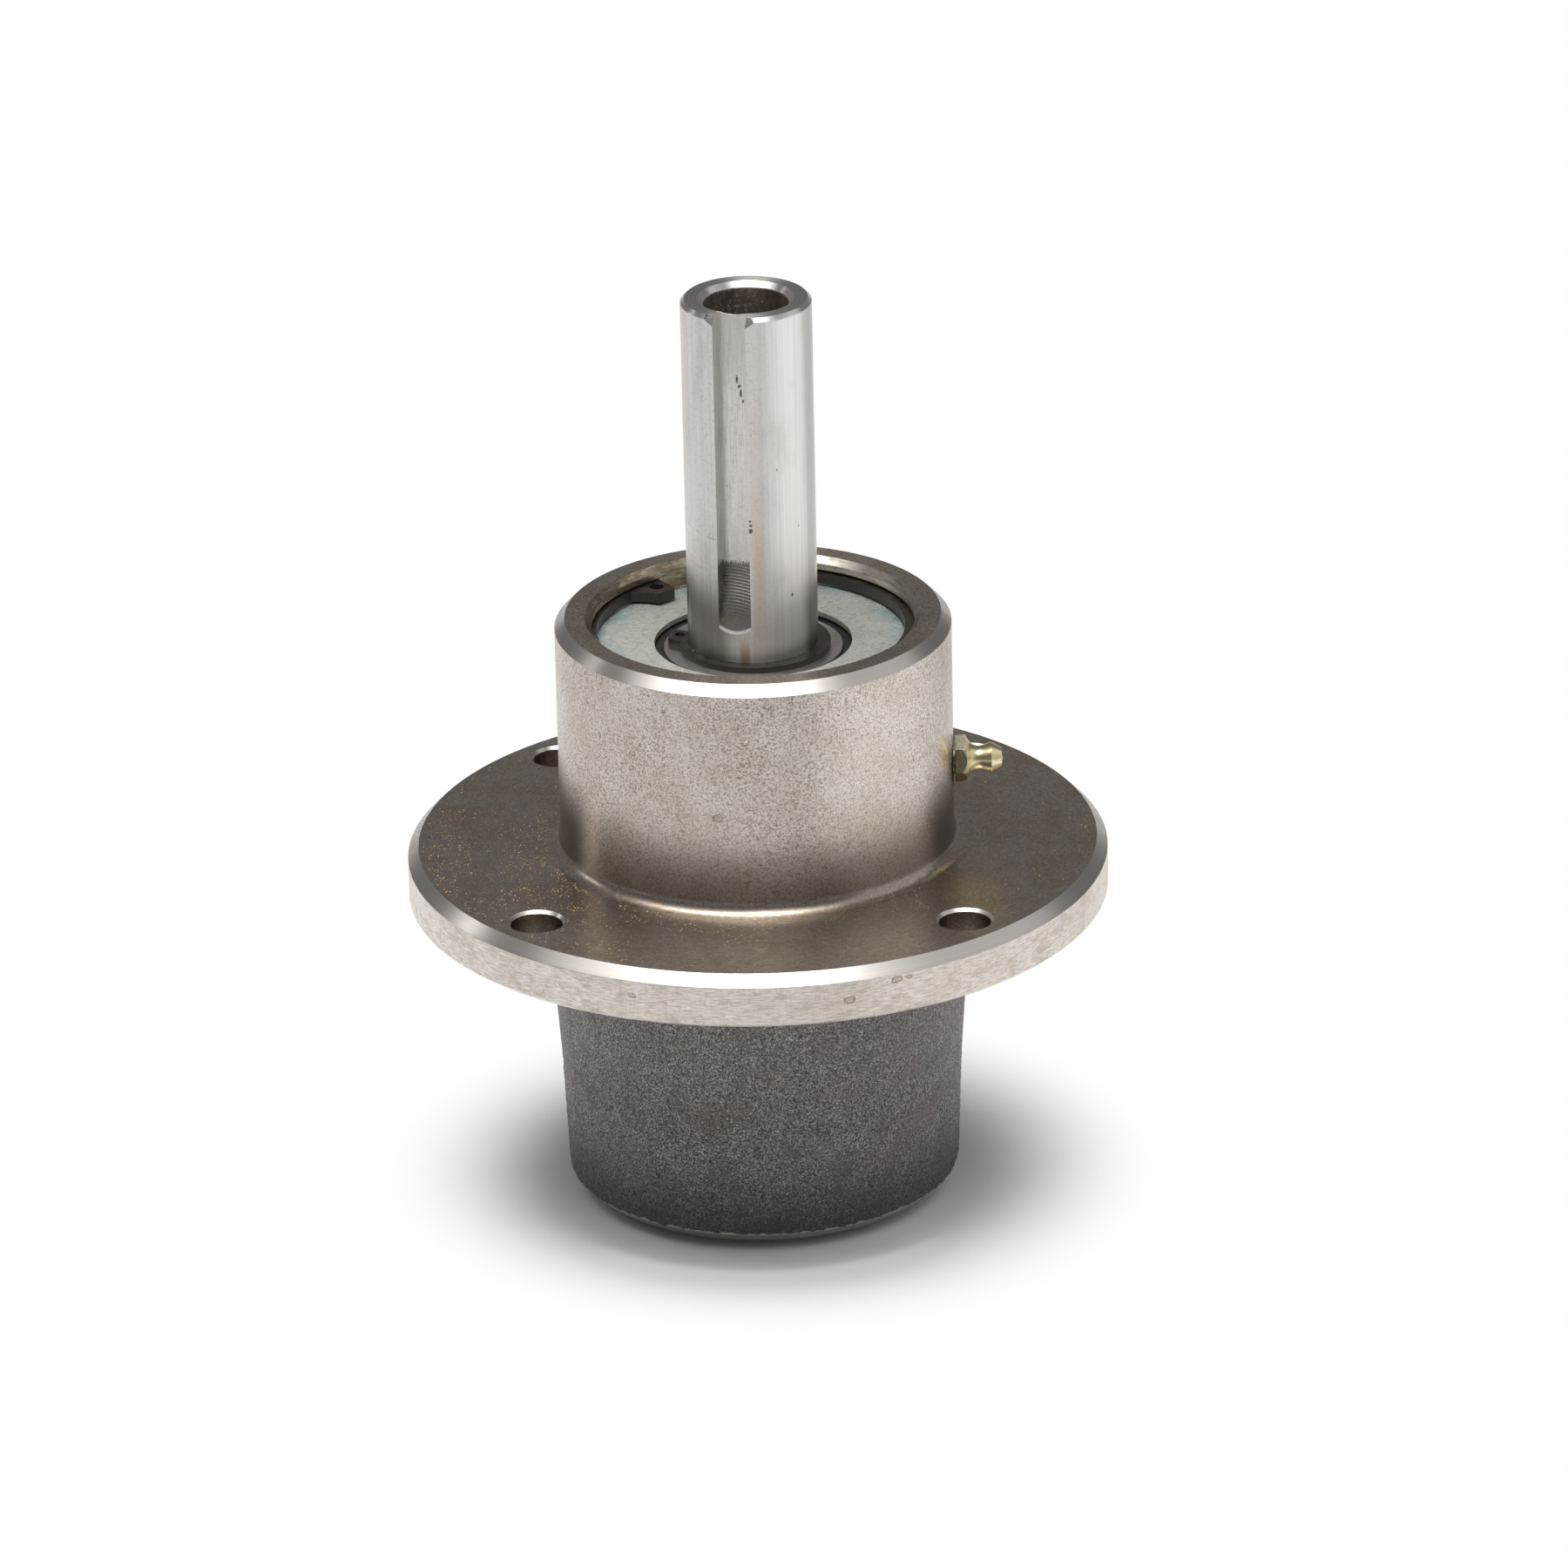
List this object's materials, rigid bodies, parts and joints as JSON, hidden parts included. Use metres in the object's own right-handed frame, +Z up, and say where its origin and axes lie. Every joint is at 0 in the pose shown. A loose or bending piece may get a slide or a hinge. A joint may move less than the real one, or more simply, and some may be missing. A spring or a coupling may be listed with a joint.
{
  "type": "mower deck spindle",
  "caption": "Flanged cast housing with a hollow keyed shaft turning in sealed ball bearings, side grease fitting, for a mower blade and pulley.",
  "frame": {"origin": "on the shaft axis, at the level of the blade seat, the lowest face", "axes": "+Z up along the shaft towards the pulley end; +X towards the grease fitting"},
  "size_m": [0.1354, 0.1354, 0.1823],
  "materials": {
    "machined_casting": "machined and oiled, with light rust",
    "ground_steel": "ground, bright",
    "black_spring_steel": "black oxide",
    "zinc_plate": "dull zinc plate",
    "bearing_steel": "ground and polished",
    "pressed_steel": "plain rolled",
    "seal_rubber": "matt black",
    "yellow_zinc_steel": "yellow zinc plate"
  },
  "bodies": {
    "housing": {"spindle_housing": "machined_casting", "upper_housing_circlip": "black_spring_steel", "lower_housing_circlip": "black_spring_steel", "upper_shield_washer": "zinc_plate", "lower_shield_washer": "zinc_plate", "upper_bearing_outer_ring": "bearing_steel", "lower_bearing_outer_ring": "bearing_steel", "upper_bearing_seal": "seal_rubber", "lower_bearing_seal": "seal_rubber", "grease_fitting_body": "yellow_zinc_steel", "grease_fitting_spring": "black_spring_steel"},
    "spindle": {"spindle_shaft": "ground_steel", "shaft_circlip": "black_spring_steel", "upper_bearing_inner_ring": "bearing_steel", "lower_bearing_inner_ring": "bearing_steel", "bearing_spacer": "pressed_steel"},
    "upper_ball_set": {"upper_bearing_balls": "bearing_steel", "upper_cage_top_half": "pressed_steel", "upper_cage_bottom_half": "pressed_steel", "upper_cage_rivets": "pressed_steel"},
    "lower_ball_set": {"lower_bearing_balls": "bearing_steel", "lower_cage_top_half": "pressed_steel", "lower_cage_bottom_half": "pressed_steel", "lower_cage_rivets": "pressed_steel"},
    "grease_check_ball": {"grease_fitting_ball": "bearing_steel"}
  },
  "joints": [
    {"name": "shaft_spin", "type": "hinge", "parent": "housing", "child": "spindle", "pos_m": [0, 0, 0], "axis": [0, 0, 1], "continuous": true},
    {"name": "upper_balls_spin", "type": "hinge", "parent": "housing", "child": "upper_ball_set", "pos_m": [0, 0, 0], "axis": [0, 0, 1], "continuous": true},
    {"name": "lower_balls_spin", "type": "hinge", "parent": "housing", "child": "lower_ball_set", "pos_m": [0, 0, 0], "axis": [0, 0, 1], "continuous": true},
    {"name": "grease_ball_slide", "type": "slide", "parent": "housing", "child": "grease_check_ball", "axis": [-1, 0, 0], "range_m": [0, 0.0006], "stiffness_N_per_m": 500, "springref_m": -0.001, "deforming": ["grease_fitting_spring"]}
  ],
  "couplings": [
    {"joint": "upper_balls_spin", "follows": "shaft_spin", "ratio": 0.3711},
    {"joint": "lower_balls_spin", "follows": "shaft_spin", "ratio": 0.3711}
  ]
}
